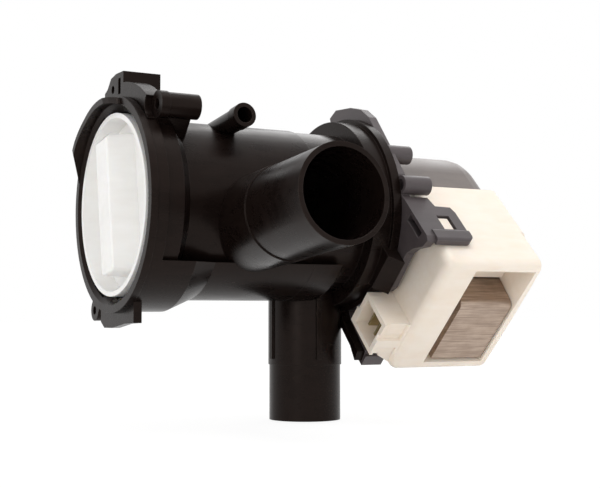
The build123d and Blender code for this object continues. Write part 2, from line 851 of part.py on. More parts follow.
def make_filter_comb():
    """White comb that catches lint, open towards the inlet."""
    x0 = cap_neck_end_x
    spigot_outer_r = cap_neck_bore_r - fit_gap
    spigot_inner_r = spigot_outer_r - comb_spigot_wall
    body = turned(
        [
            (x0 - comb_spigot_len, spigot_inner_r),
            (x0 - comb_spigot_len, spigot_outer_r),
            (x0, spigot_outer_r),
            (x0, comb_r),
            (x0 + comb_hoop_len, comb_r),
            (x0 + comb_hoop_len, spigot_inner_r),
        ]
    )
    body += ring(comb_r, comb_inner_r, comb_end_x - comb_hoop_len, comb_end_x)
    middle_x = (x0 + comb_end_x) / 2
    open0 = half_turn - comb_open_half_angle
    open1 = half_turn + comb_open_half_angle
    back_hoop = ring(comb_r, comb_inner_r, middle_x - comb_hoop_len / 2, middle_x + comb_hoop_len / 2)
    body += back_hoop - wedge(open0, open1, 0, comb_end_x)
    half = comb_tooth_thick / 2
    tooth_x0 = x0 + comb_hoop_len / 2
    tooth_x1 = comb_end_x - comb_hoop_len / 2
    for i in range(comb_tooth_count):
        angle = 360 / comb_tooth_count * (i + 0.5)
        if open0 < angle < open1:
            continue
        tooth_r = comb_inner_r + comb_tooth_inset
        tooth = block(tooth_x0, tooth_x1, tooth_r, comb_r - comb_tooth_inset, -half, half)
        body += Rot(angle, 0, 0) * tooth
    return body


def make_impeller():
    """Impeller with straight vanes and a hollow hub with two stops."""
    body = tube_solid(hub_r, impeller_front_x, impeller_rear_x)
    for i in range(vane_count):
        vane = block(impeller_front_x, impeller_rear_x, -vane_thick / 2, vane_thick / 2, 0, impeller_r)
        body += Rot(360 / vane_count * i, 0, 0) * vane
    body += tube_solid(impeller_r, impeller_rear_x - back_plate_thick, impeller_rear_x)
    body &= turned(
        [
            (impeller_front_x, 0),
            (impeller_front_x, impeller_r - impeller_nose),
            (impeller_front_x + impeller_nose, impeller_r),
            (impeller_rear_x, impeller_r),
            (impeller_rear_x, 0),
        ]
    )
    body -= tube_solid(hub_pocket_r, hub_pocket_x, impeller_rear_x + cut_over)
    body -= tube_solid(shaft_r + turn_gap, shaft_front_x - end_gap, hub_pocket_x + cut_over)
    stop = ring(hub_pocket_r + overlap, stop_inner_r, hub_pocket_x - overlap, impeller_rear_x)
    for middle in (0, half_turn):
        side = stop_angle / 2
        body += stop & wedge(middle - side, middle + side, impeller_front_x, impeller_rear_x)
    return body


def make_drive_dog():
    """Two-armed dog on the shaft that pushes the impeller's stops round."""
    x0 = hub_pocket_x + end_gap
    x1 = x0 + dog_len
    body = ring(dog_r, shaft_r + press_gap, x0, x1)
    arms = ring(dog_reach_r, dog_r - overlap, x0, x1)
    start = stop_angle / 2 + dog_rest_angle
    for base in (0, half_turn):
        body += arms & wedge(base + start, base + start + dog_arm_angle, x0, x1)
    return body


def make_rotor_shaft():
    """Steel shaft of the rotor."""
    body = tube_solid(shaft_r, shaft_front_x, shaft_rear_x)
    return chamfer(body.edges().filter_by(GeomType.CIRCLE), shaft_chamfer)


def make_magnet_hub():
    """Plastic hub that carries the magnet on the shaft."""
    body = tube_solid(magnet_bore_r, hub_core_x0, hub_core_x1)
    body += tube_solid(hub_flange_r, magnet_x0 - hub_flange_thick, magnet_x0)
    body += tube_solid(hub_flange_r, magnet_x1, magnet_x1 + hub_flange_thick)
    return body - tube_solid(shaft_r + press_gap, hub_core_x0 - cut_over, hub_core_x1 + cut_over)


def make_shaft_seal():
    """Rubber lip seal in front of the front bearing."""
    x0 = carrier_front_x + seal_room
    x1 = carrier_front_x + seal_pocket_len - seal_room
    outer = seal_pocket_r - fit_gap
    lip = shaft_r + turn_gap
    root = lip + seal_lip_height
    return turned(
        [
            (x0, outer),
            (x1, outer),
            (x1, root),
            (x0 + 2 * seal_lip_len, root),
            (x0 + 2 * seal_lip_len, lip),
            (x0 + seal_lip_len, lip),
            (x0, root),
        ]
    )


def make_bearing_carrier():
    """Stepped plug that closes the rotor can behind the impeller."""
    body = tube_solid(can_bore_r - fit_gap, carrier_front_x, carrier_rear_x)
    body -= tube_solid(seal_pocket_r, carrier_front_x - cut_over, carrier_front_x + seal_pocket_len)
    body -= tube_solid(shaft_r + carrier_bore_gap, carrier_front_x, carrier_rear_x + cut_over)
    body -= tube_solid(mount_r + fit_gap, front_bearing_x, carrier_rear_x + cut_over)
    return body


def make_bearing(x0):
    """Sintered bush."""
    return ring(bearing_r, shaft_r + turn_gap, x0, x0 + bearing_len)


def make_bearing_mount(x0):
    """Rubber ring round a bush."""
    return ring(mount_r, bearing_r + fit_gap, x0 + mount_inset, x0 + bearing_len - mount_inset)


def make_thrust_washer(x0):
    """Plastic washer that takes the rotor's end thrust."""
    return ring(washer_r, shaft_r + turn_gap, x0, x0 + washer_thick)


def flange_plate():
    """Flat plate with its round part, the lug and the two arms."""
    side = [top_lug_outline[-1], plate_side_end, (arm_s, arm_start_m)]
    far_s = 2 * chamber_rim_r
    plate = tube_solid(chamber_rim_r, flange_front_x, plate_rear_x)
    plate -= motor_prism([*side, (far_s, arm_start_m), (far_s, side[0][1])], flange_front_x, plate_rear_x)
    arm_end = [(arm_s - inside, m) for inside, m in arm_end_outline]
    upper = [(0, 0), *top_lug_outline[:-1], *side, *arm_end, *plate_low_edge]
    plate += motor_prism(upper, flange_front_x, plate_rear_x)
    return plate + motor_prism([*low_arm_inner, *low_arm_outer], flange_front_x, plate_rear_x)


def flange_loop():
    """Snap loop that stands back from the upper arm."""
    middle = motor_plane(0)
    across = Axis((0, 0, 0), middle.x_dir)
    x0 = plate_rear_x - overlap
    end_back, end_m = loop_outline[-2]
    end_x = x0 + end_back
    frame = side_prism([(x0 + back, m) for back, m in loop_outline], loop_s, arm_s)
    window_x0 = plate_rear_x + loop_window_start
    window_x1 = window_x0 + loop_window_len
    window_s = arm_s + cut_over
    frame -= motor_box(loop_s - cut_over, window_s, loop_window_m0, loop_window_m1, window_x0, window_x1)
    bar = motor_box(loop_s, loop_s + loop_bar_thick, loop_bar_m0, end_m, x0, end_x)
    bar = fillet(bar.edges().filter_by(Axis.X).sort_by(across)[-2:], loop_bar_r)
    limit = motor_box(loop_s, loop_s + loop_bar_thick, 0, end_m, x0, end_x)
    target = middle.from_local_coords((loop_s, end_m, end_x))
    corner = limit.edges().filter_by(across).sort_by_distance(target)[0]
    return (frame + bar) & fillet(corner, loop_corner_r)


def make_motor_flange():
    """Grey moulding with the motor plate, rotor can, bosses and arms."""
    body = flange_plate() + tube_solid(spigot_r, spigot_x, flange_front_x + overlap)
    groove_half = chamber_seal_wire_r + seal_gap
    groove_r = chamber_seal_mean_r - chamber_seal_wire_r - seal_gap
    body -= ring(spigot_r + cut_over, groove_r, chamber_seal_x - groove_half, chamber_seal_x + groove_half)
    body += motor_rod(upper_boss_s, upper_boss_m, flange_boss_r, flange_front_x, flange_boss_end_x)
    body += motor_rod(lower_boss_s, lower_boss_m, flange_boss_r, flange_front_x, flange_boss_end_x)
    foot_end_x = plate_rear_x + low_foot_len
    body += flange_loop()
    body += motor_box(low_foot_s0, low_foot_s1, low_foot_m0, low_foot_m1, flange_front_x, foot_end_x)
    body += tube_solid(can_r, flange_front_x, can_floor_x + can_wall)
    body += tube_solid(can_pocket_r, can_floor_x, can_end_x)
    body -= tube_solid(can_bore_r, spigot_x - cut_over, can_floor_x)
    body -= tube_solid(mount_r + fit_gap, can_floor_x - cut_over, can_inner_end_x)
    hole_x0 = flange_front_x - cut_over
    body -= motor_rod(lower_boss_s, lower_boss_m, flange_hole_r, hole_x0, flange_boss_end_x + cut_over)
    body -= motor_box(arm_slot_s0, arm_slot_s1, arm_slot_m0, arm_slot_m1, hole_x0, plate_rear_x + cut_over)
    return body


def dome_profile(radius, x_front, dome_len):
    """Outline of a cylinder with an elliptic end as (x, r) points."""
    points = [(x_front, 0), (x_front, radius), (shroud_dome_x, radius)]
    steps = 8
    for i in range(1, steps):
        turn = radians(90 * i / steps)
        points.append((shroud_dome_x + dome_len * sin(turn), radius * cos(turn)))
    return [*points, (shroud_dome_x + dome_len, 0)]


def dome_form(radius, x_front, dome_len):
    """Half round body with straight sides up to the shroud's edge."""
    profile = dome_profile(radius, x_front, dome_len)
    mirrored = [(x, -r) for x, r in reversed(profile[1:-1])]
    middle = motor_plane(0)
    plane = Plane(origin=(0, 0, 0), x_dir=(1, 0, 0), z_dir=middle.y_dir)
    sides = extrude(plane * make_face(Polyline(*profile, *mirrored, close=True)), amount=shroud_edge_m)
    reach = 2 * radius
    below = motor_box(-reach, reach, -reach, overlap, x_front, shroud_dome_x + reach)
    return (turned(profile) & below) + sides


def make_motor_shroud():
    """Grey half shell over the far side of the stator and the rotor can."""
    outer = dome_form(shroud_r, plate_rear_x, shroud_dome_len)
    inner = dome_form(shroud_inner_r, plate_rear_x - cut_over, shroud_dome_len - shroud_wall)
    cut_m = shroud_edge_m - overlap
    above = motor_box(-shroud_r, shroud_r, cut_m, 2 * shroud_r, plate_rear_x, shroud_end_x)
    return outer - inner - above


def make_stator_poles():
    """Laminated pole piece round the rotor can with two legs."""
    face = Circle(pole_outer_s)
    face += Pos(0, leg_end_m / 2) * Rectangle(2 * pole_outer_s, leg_end_m)
    face -= Pos(0, leg_end_m / 2 + cut_over) * Rectangle(2 * leg_inner_s, leg_end_m)
    body = extrude(motor_plane(stack_x0) * face, amount=stack_len)
    body -= tube_solid(pole_bore_r, stack_x0 - cut_over, stack_x1 + cut_over)
    half = tenon_width / 2
    for middle in (-tenon_s, tenon_s):
        m0 = leg_end_m - overlap
        body += motor_box(middle - half, middle + half, m0, leg_end_m + tenon_len, stack_x0, stack_x1)
    return body


def make_stator_yoke():
    """Laminated yoke across the two legs, stepped at its upper end."""
    body = motor_prism(
        [
            (-pole_outer_s, leg_end_m),
            (-pole_outer_s, yoke_end_m),
            (yoke_flat_s, yoke_end_m),
            (yoke_step_s, yoke_step_m),
            (pole_outer_s, yoke_step_m),
            (pole_outer_s, leg_end_m),
        ],
        stack_x0,
        stack_x1,
    )
    shoulder = motor_plane(stack_x0).from_local_coords((yoke_flat_s, yoke_end_m))
    body = fillet(body.edges().filter_by(Axis.X).sort_by_distance(shoulder)[0], yoke_round)
    half = tenon_width / 2 + fit_gap
    slot_m1 = leg_end_m + tenon_len + fit_gap
    for middle in (-tenon_s, tenon_s):
        s1 = middle + half
        m0 = leg_end_m - cut_over
        body -= motor_box(middle - half, s1, m0, slot_m1, stack_x0 - cut_over, stack_x1 + cut_over)
    return body


def leg_box(side, grow, m0, m1):
    """Box round one leg of the pole piece, grown on all four sides."""
    inner = leg_inner_s - grow
    outer = pole_outer_s + grow
    s0, s1 = sorted((side * inner, side * outer))
    return motor_box(s0, s1, m0, m1, stack_x0 - grow, stack_x1 + grow)


def make_bobbin(side):
    """Plastic coil former on one leg."""
    body = leg_box(side, fit_gap + bobbin_wall, bobbin_m0, bobbin_m1)
    body += leg_box(side, bobbin_flange, bobbin_m0, bobbin_m0 + bobbin_wall)
    body += leg_box(side, bobbin_flange, bobbin_m1 - bobbin_wall, bobbin_m1)
    return body - leg_box(side, fit_gap, bobbin_m0 - cut_over, bobbin_m1 + cut_over)


def make_winding(side):
    """Copper winding on one former."""
    m0 = bobbin_m0 + bobbin_wall
    m1 = bobbin_m1 - bobbin_wall
    core = fit_gap + bobbin_wall
    body = leg_box(side, coil_build, m0, m1)
    upright = body.edges().filter_by(Axis((0, 0, 0), motor_plane(0).y_dir))
    body = fillet(upright, coil_build - core)
    return body - leg_box(side, core, m0 - cut_over, m1 + cut_over)


def cover_block():
    """Rounded outer form of the stator cover."""
    body = motor_box(cover_low_s, cover_s, cover_m0, cover_m1, cover_x0, cover_x1)
    along = Axis((0, 0, 0), motor_plane(0).y_dir)
    upright = body.edges().filter_by(along)
    crown = body.faces().sort_by(along)[-1].edges()
    return fillet([*upright, *crown], cover_round)


def cover_cheek():
    """Thicker part of the cover's lower side beside the socket."""
    return deep_prism(cheek_outline, cheek_m0, cheek_m1)


def cover_wedge():
    """Wedge off the rear of the cover behind the iron, deeper on the upper side."""
    low_s = cover_low_s - cut_over
    high_s = cover_s + cut_over
    rear_x = cover_x1 + cut_over
    points = [(cover_x1, low_s), (cover_x1 - cover_slant, high_s), (rear_x, high_s), (rear_x, low_s)]
    return deep_prism(points, leg_end_m + wrap_gap + cover_wall, cover_m1 + cut_over)


def cover_catch():
    """Wedge on the cover that snaps into the flange's loop."""
    x0 = plate_rear_x + loop_window_start + catch_room
    x1 = x0 + loop_window_len - 2 * catch_room
    m0 = loop_window_m0 + catch_room
    m1 = loop_window_m1 - catch_room
    return motor_box(cover_s - overlap, cover_s + catch_height, m0, m1, x0, x1)


def cover_hollow():
    """Rooms for the coils, the leads, the iron and the rotor can."""
    wall = cover_wall
    roof_m = leg_end_m + wrap_gap
    inner_s = cover_s - wall
    low_s = cover_low_s + wall
    rooms = motor_box(low_s, inner_s, cover_m0 + wall, roof_m, cover_x0 + wall, cover_x1 - wall)
    lead_x1 = cover_x0 + wall + cover_lead_len
    rooms += motor_box(low_s, inner_s, cover_m0 + wall, cover_m1 - 2 * wall, cover_x0 + wall, lead_x1)
    iron_s = pole_outer_s + wrap_gap
    iron_x0 = stack_x0 - wrap_gap
    iron_x1 = stack_x1 + wrap_gap
    step_s = yoke_step_s + wrap_gap
    step_m = yoke_step_m + wrap_gap
    open_m = cover_m1 + cut_over
    rooms += motor_box(-iron_s, iron_s, 0, step_m, iron_x0, iron_x1)
    rooms += motor_box(-iron_s, step_s, 0, open_m, iron_x0, iron_x1)
    window_s = pole_outer_s + window_gap_s
    window_x0 = stack_x0 - window_front_gap
    window_x1 = stack_x1 + window_rear_gap
    rooms += motor_box(-window_s, window_s, cover_m1 - window_depth, open_m, window_x0, window_x1)
    rooms += motor_box(0, window_s, step_m + cover_floor, open_m, window_x0, window_x1)
    return rooms + tube_solid(can_r + wrap_gap, cover_x0 - cut_over, cover_x1 + cut_over)


def socket_cuts():
    """Hollow of the connector socket and the recesses on its outer side."""
    wall = socket_wall
    inner_m0 = socket_m0 + wall
    inner_m1 = socket_m1 - wall
    front_x = socket_x0 - cut_over
    cuts = motor_box(socket_s0 + wall, socket_s1 - wall, inner_m0, inner_m1, front_x, socket_floor_x)
    x0 = socket_x0 + socket_recess_start
    x1 = x0 + socket_recess_len
    over_m = socket_m1 + cut_over
    shallow_m = socket_m1 - socket_recess
    cuts += motor_box(socket_near_s, socket_s1 + cut_over, shallow_m, over_m, x0, x1)
    cuts += motor_box(socket_s0 - cut_over, socket_far_s, shallow_m, over_m, x0, x1)
    cuts += motor_box(socket_slot_s, socket_near_s, socket_m1 - socket_slot_depth, over_m, front_x, x1)
    return cuts


def blade_box(order, grow):
    """Blade terminal in the socket, with room round it when grown."""
    middle_m = (socket_m0 + socket_m1) / 2 + (order - 0.5) * blade_pitch
    middle_s = (socket_s0 + socket_s1) / 2
    half_m = blade_thick / 2 + grow
    half_s = blade_width / 2 + grow
    x0 = socket_floor_x - blade_out - grow
    x1 = socket_floor_x + blade_root + grow
    return motor_box(middle_s - half_s, middle_s + half_s, middle_m - half_m, middle_m + half_m, x0, x1)


def make_stator_cover():
    """Cream moulding round the coils with the yoke frame and connector."""
    body = cover_block() - cover_wedge() + cover_cheek()
    socket_rear_x = cover_x0 + cover_wall
    body += motor_box(socket_s0, socket_s1, socket_m0, socket_m1, socket_x0, socket_rear_x)
    tab_m = socket_m0 - socket_tab_height
    body += motor_box(socket_s0, socket_tab_s, tab_m, socket_m0 + overlap, socket_x0, socket_rear_x)
    body += cover_catch()
    body -= cover_hollow()
    body -= socket_cuts()
    for order in range(2):
        body -= blade_box(order, fit_gap)
    return body


def save(shape, node):
    """Write one node."""
    export_step(shape, f"parts/{node}.step")


core = housing_core()
save(core & half_space(tube_step_x, -1), "filter_housing")
save(core & half_space(tube_step_x, 1), "pump_chamber")
save(make_inlet_spigot(), "inlet_spigot")
save(make_outlet_spigot(), "outlet_spigot")
save(make_bypass_nipple(), "bypass_nipple")
save(make_screw_boss(), "screw_boss")
save(fitted(bracket_form()), "top_bracket")
save(make_screw_lug(), "screw_lug")
foot = [(y, -collar_r - depth) for y, depth in foot_outline]
save(fitted(cross_prism(foot, foot_front_x, foot_front_x + foot_len)), "housing_foot")
save(make_filter_cap(), "filter_cap")
save(make_filter_comb(), "filter_comb")
save(torus_x(cap_seal_x, cap_seal_mean_r, cap_seal_wire_r), "cap_seal")
save(torus_x(chamber_seal_x, chamber_seal_mean_r, chamber_seal_wire_r), "chamber_seal")
save(make_impeller(), "impeller")
save(ring(hub_r, hub_cap_bore_r, impeller_rear_x, impeller_rear_x + hub_cap_len), "impeller_hub_cap")
save(make_drive_dog(), "drive_dog")
save(make_rotor_shaft(), "rotor_shaft")
save(ring(magnet_r, magnet_bore_r + fit_gap, magnet_x0, magnet_x1), "rotor_magnet")
save(make_magnet_hub(), "magnet_hub")
save(make_shaft_seal(), "shaft_seal")
save(make_bearing_carrier(), "bearing_carrier")
for name, bearing_x in (("front", front_bearing_x), ("rear", rear_bearing_x)):
    save(make_bearing(bearing_x), f"{name}_bearing")
    save(make_bearing_mount(bearing_x), f"{name}_bearing_mount")
save(make_thrust_washer(front_washer_x), "front_thrust_washer")
save(make_thrust_washer(rear_washer_x), "rear_thrust_washer")
save(make_motor_flange(), "motor_flange")
save(make_motor_shroud(), "motor_shroud")
save(make_stator_poles(), "stator_poles")
save(make_stator_yoke(), "stator_yoke")
for name, side in (("upper", 1), ("lower", -1)):
    save(make_bobbin(side), f"{name}_coil_bobbin")
    save(make_winding(side), f"{name}_coil_winding")
save(make_stator_cover(), "stator_cover")
save(blade_box(0, 0), "upper_terminal")
save(blade_box(1, 0), "lower_terminal")
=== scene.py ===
import logging
import math
from dataclasses import dataclass
from enum import Enum
from functools import cache
from typing import Any

import bmesh
import bpy
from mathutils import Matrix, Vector

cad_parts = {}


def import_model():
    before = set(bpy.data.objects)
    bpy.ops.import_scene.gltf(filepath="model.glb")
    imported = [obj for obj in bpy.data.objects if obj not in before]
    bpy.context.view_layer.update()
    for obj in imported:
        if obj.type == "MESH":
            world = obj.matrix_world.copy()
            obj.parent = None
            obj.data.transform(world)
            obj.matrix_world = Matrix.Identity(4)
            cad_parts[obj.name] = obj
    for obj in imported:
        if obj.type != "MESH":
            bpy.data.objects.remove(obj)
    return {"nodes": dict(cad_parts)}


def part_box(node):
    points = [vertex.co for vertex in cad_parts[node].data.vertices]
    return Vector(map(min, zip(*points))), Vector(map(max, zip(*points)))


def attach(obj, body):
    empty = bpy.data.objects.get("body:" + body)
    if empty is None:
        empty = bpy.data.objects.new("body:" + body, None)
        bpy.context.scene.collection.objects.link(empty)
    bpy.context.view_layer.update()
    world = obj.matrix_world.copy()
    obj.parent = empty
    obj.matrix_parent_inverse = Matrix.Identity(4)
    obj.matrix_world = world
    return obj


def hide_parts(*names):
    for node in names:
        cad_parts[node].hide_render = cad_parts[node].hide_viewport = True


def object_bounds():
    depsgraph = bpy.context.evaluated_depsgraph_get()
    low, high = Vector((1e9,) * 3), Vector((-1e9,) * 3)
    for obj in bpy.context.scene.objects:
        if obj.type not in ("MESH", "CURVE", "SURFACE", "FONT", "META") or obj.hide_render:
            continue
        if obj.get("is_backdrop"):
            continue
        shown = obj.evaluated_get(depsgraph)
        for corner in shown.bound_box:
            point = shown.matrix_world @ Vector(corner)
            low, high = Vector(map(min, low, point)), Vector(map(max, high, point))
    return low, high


LOG = logging.getLogger("drain_pump")
MM = 0.001

# The motor has its own directions across the pump's axis, turned by 45 degrees from Y and Z:
# m points from the rotor to the yoke, and s points to the inlet side and up.
SLANT = math.sqrt(0.5)

# Sockets of the colour form of the Mix node
MIX_SHARE = 0
MIX_FIRST = 6
MIX_SECOND = 7
MIX_RESULT = 2

Triple = tuple[float, float, float]
Range = tuple[float, float]

PURE_WHITE: Triple = (1.0, 1.0, 1.0)


class Grain(Enum):
    """Grain of a moulded surface, as its size and its depth in millimetres."""

    SMOOTH = (0.9, 0.008)
    SATIN = (0.45, 0.02)


class Sock:
    """An output socket. Operators between numbers add the Math nodes that they stand for."""

    def __init__(self, graph: "Graph", socket: bpy.types.NodeSocket) -> None:
        """Keep the socket and the graph it belongs to.

        Args:
            graph: The graph that new nodes go into.
            socket: The output socket.
        """
        self.graph = graph
        self.socket = socket

    def combine(self, operation: str, first: Any, second: Any) -> "Sock":
        """Join two numbers with a Math node.

        Args:
            operation: The node's operation, such as ADD or PINGPONG.
            first: A socket or number.
            second: A socket or number.

        Returns:
            The result's socket.
        """
        return self.graph.node("ShaderNodeMath", {"operation": operation}, {0: first, 1: second})

    def __add__(self, other: Any) -> "Sock":
        """Sum of this socket and another value."""
        return self.combine("ADD", self, other)

    def __sub__(self, other: Any) -> "Sock":
        """Difference of this socket and another value."""
        return self.combine("SUBTRACT", self, other)

    def __rsub__(self, other: Any) -> "Sock":
        """Difference of another value and this socket."""
        return self.combine("SUBTRACT", other, self)

    def __mul__(self, other: Any) -> "Sock":
        """Product of this socket and another value."""
        return self.combine("MULTIPLY", self, other)

    def folded(self, height: float) -> "Sock":
        """This number going up and down between 0 and a height, like a folded strip."""
        return self.combine("PINGPONG", self, height)


class Graph:
    """Node tree of one material or of the world."""

    bevel_samples = 4
    flat_cosine = 0.99
    sharp_cosine = 0.86

    def __init__(self, tree: bpy.types.NodeTree) -> None:
        """Start with an empty tree.

        Args:
            tree: The node tree to fill.
        """
        self.tree = tree
        self.tree.nodes.clear()

    def node(
        self,
        kind: str,
        settings: dict[str, Any],
        inputs: dict[Any, Any],
        output: int | str = 0,
    ) -> Sock | None:
        """Add one node.

        Args:
            kind: The node's type.
            settings: Its settings, set before its sockets.
            inputs: Values or sockets by input name or number.
            output: The output to return.

        Returns:
            The chosen output socket, or None where the node has none.
        """
        made = self.tree.nodes.new(kind)
        for name, value in settings.items():
            setattr(made, name, value)
        for key, value in inputs.items():
            if isinstance(value, Sock):
                self.tree.links.new(value.socket, made.inputs[key])
            else:
                made.inputs[key].default_value = value
        return Sock(self, made.outputs[output]) if made.outputs else None

    def place(self, stretch: Triple = (1.0, 1.0, 1.0)) -> Sock:
        """Position on the object in metres.

        Args:
            stretch: Scale along each axis. Below 1 it draws a texture out along that axis.

        Returns:
            The position as a vector.
        """
        base = self.node("ShaderNodeTexCoord", {}, {}, "Object")
        return self.node("ShaderNodeMapping", {}, {"Vector": base, "Scale": stretch})

    def noise(self, where: Sock, size_mm: float, detail: float = 2.0, roughness: float = 0.5) -> Sock:
        """Soft noise from 0 to 1.

        Args:
            where: The position.
            size_mm: Size of the noise's features.
            detail: Octaves.
            roughness: Weight of the finer octaves.

        Returns:
            The noise as a number.
        """
        scale = 1.0 / (size_mm * MM)
        inputs = {"Vector": where, "Scale": scale, "Detail": detail, "Roughness": roughness}
        return self.node("ShaderNodeTexNoise", {}, inputs)

    def span(self, value: Sock, low: float, high: float, start: float = 0.0, end: float = 1.0) -> Sock:
        """Map a range of a number to another range, held at its ends.

        Args:
            value: The number.
            low: Its value at the start.
            high: Its value at the end.
            start: Result at low.
            end: Result at high.

        Returns:
            The mapped number.
        """
        inputs = {"Value": value, "From Min": low, "From Max": high, "To Min": start, "To Max": end}
        return self.node("ShaderNodeMapRange", {"clamp": True}, inputs)

    def vary(self, value: Sock, low: float, high: float, middle: float, drift: Range) -> Sock:
        """Number that drifts round a middle one as another number runs through its range.

        Args:
            value: The number that drives it.
            low: Its value where the result is lowest.
            high: Its value where the result is highest.
            middle: The middle of the result.
            drift: How far the result lies from the middle at low and at high.

        Returns:
            The drifting number.
        """
        return self.span(value, low, high, middle + drift[0], middle + drift[1])

    def blend(self, share: Sock, first: Any, second: Any) -> Sock:
        """Blend of two colours by a share from 0 to 1."""
        inputs = {MIX_SHARE: share, MIX_FIRST: first, MIX_SECOND: second}
        return self.node("ShaderNodeMix", {"data_type": "RGBA"}, inputs, MIX_RESULT)

    def normal(self) -> Sock:
        """The surface's own normal."""
        return self.node("ShaderNodeNewGeometry", {}, {}, "Normal")

    def soft_edges(self, radius_mm: float) -> tuple[Sock, Sock]:
        """Rounded edges for the shader.

        Args:
            radius_mm: Radius of the rounding.

        Returns:
            The rounded normal, and a mask that is 1 on sharp outer and inner edges.
        """
        rounded = self.node("ShaderNodeBevel", {"samples": self.bevel_samples}, {"Radius": radius_mm * MM})
        inputs = {0: rounded, 1: self.normal()}
        cosine = self.node("ShaderNodeVectorMath", {"operation": "DOT_PRODUCT"}, inputs, "Value")
        return rounded, self.span(cosine, self.flat_cosine, self.sharp_cosine)

    def bump(self, height: Sock, depth_mm: float, strength: float, normal: Sock) -> Sock:
        """Surface relief on top of a normal.

        Args:
            height: Relief from 0 to 1.
            depth_mm: Depth that 1 stands for.
            strength: Strength of the effect.
            normal: The normal under the relief.

        Returns:
            The normal with the relief.
        """
        inputs = {"Height": height, "Distance": depth_mm * MM, "Strength": strength, "Normal": normal}
        return self.node("ShaderNodeBump", {}, inputs)

    def surface(self, inputs: dict[str, Any]) -> None:
        """Add the shader and the output.

        Args:
            inputs: The shader's values and sockets.
        """
        shader = self.node("ShaderNodeBsdfPrincipled", {}, inputs)
        self.node("ShaderNodeOutputMaterial", {}, {"Surface": shader})


def new_graph(name: str) -> tuple[bpy.types.Material, Graph]:
    """Make a material with an empty node tree.

    Args:
        name: The material's name.

    Returns:
        The material and its graph.
    """
    material = bpy.data.materials.new(name)
    material.use_nodes = True
    return material, Graph(material.node_tree)


def opaque(colour: Triple) -> tuple[float, float, float, float]:
    """Colour with full opacity."""
    return (*colour, 1.0)


@dataclass(frozen=True)
class Finish:
    """Look of one material. Each kind of finish says which shader inputs it has."""

    name: str
    colour: Triple

    @cache
    def material(self) -> bpy.types.Material:
        """Build the material at its first use.

        Returns:
            The material, the same one each time.
        """
        material, graph = new_graph(self.name)
        graph.surface(self.inputs(graph))
        return material

    def inputs(self, graph: Graph) -> dict[str, Any]:
        """Add the finish's nodes.

        Args:
            graph: The graph that the nodes go into.

        Returns:
            The shader's values and sockets by input name.
        """
        raise NotImplementedError


@dataclass(frozen=True)
class MouldedPlastic(Finish):
    """Injection-moulded plastic with flow marks, fine grain, and lightened edges that are partly wear and
    partly painted highlight.
    """

    flow: Triple
    # Colour of the lightened edges: partly wear, partly painted highlight along the rims.
    wear_and_highlight: Triple
    roughness: float
    grain: Grain = Grain.SATIN
    level: float = 0.5
    tint: Triple = PURE_WHITE
    edge_mm: float = 0.35
    cloud_mm: float = 14.0
    cloud_weight: float = 0.6
    streak_mm: float = 3.0
    streak_weight: float = 0.4
    streak_stretch: Triple = (0.25, 1.0, 1.0)
    streak_relief: float = 0.35
    speck_mm: float = 0.9
    speck_share: float = 0.12
    wear_and_highlight_mm: float = 5.0
    wear_and_highlight_share: float = 0.55
    wear_roughness: float = 0.08
    drift: Range = (-0.06, 0.07)
    bump_strength: float = 0.35
    soft: float = 0.0
    soft_radius: Triple = (0.0012, 0.0009, 0.0006)

    def inputs(self, graph: Graph) -> dict[str, Any]:
        """Flow marks and lightened edges (partly wear, partly painted highlight) in the colour, grain in
        the normal.
        """
        here = graph.place()
        grain_mm, grain_depth_mm = self.grain.value
        clouds = graph.noise(here, self.cloud_mm, detail=3.0)
        drawn = graph.place(self.streak_stretch)
        streaks = graph.noise(drawn, self.streak_mm, detail=4.0, roughness=0.6)
        dust = graph.noise(here, self.speck_mm, detail=3.0, roughness=0.7)
        specks = graph.span(dust, low=0.70, high=0.78)
        rounded, edge = graph.soft_edges(self.edge_mm)
        # Edge mask broken up by noise: partly wear, partly painted highlight along the rims.
        wear_and_highlight_mask = edge * graph.span(graph.noise(here, self.wear_and_highlight_mm, detail=3.0), low=0.35, high=0.65)
        flowed = graph.span(clouds + streaks, low=0.75, high=1.3)
        base = graph.blend(flowed, opaque(self.colour), opaque(self.flow))
        lighter = wear_and_highlight_mask * self.wear_and_highlight_share + specks * self.speck_share
        marks = clouds * self.cloud_weight + streaks * self.streak_weight
        rough = graph.vary(marks, low=0.3, high=0.7, middle=self.roughness, drift=self.drift)
        relief = graph.noise(here, grain_mm) + streaks * self.streak_relief
        return {
            "Base Color": graph.blend(lighter, base, opaque(self.wear_and_highlight)),
            "Roughness": rough + wear_and_highlight_mask * self.wear_roughness,
            "Normal": graph.bump(relief, grain_depth_mm, self.bump_strength, rounded),
            "Specular IOR Level": self.level,
            "Specular Tint": opaque(self.tint),
            "Subsurface Weight": self.soft,
            "Subsurface Radius": self.soft_radius,
        }


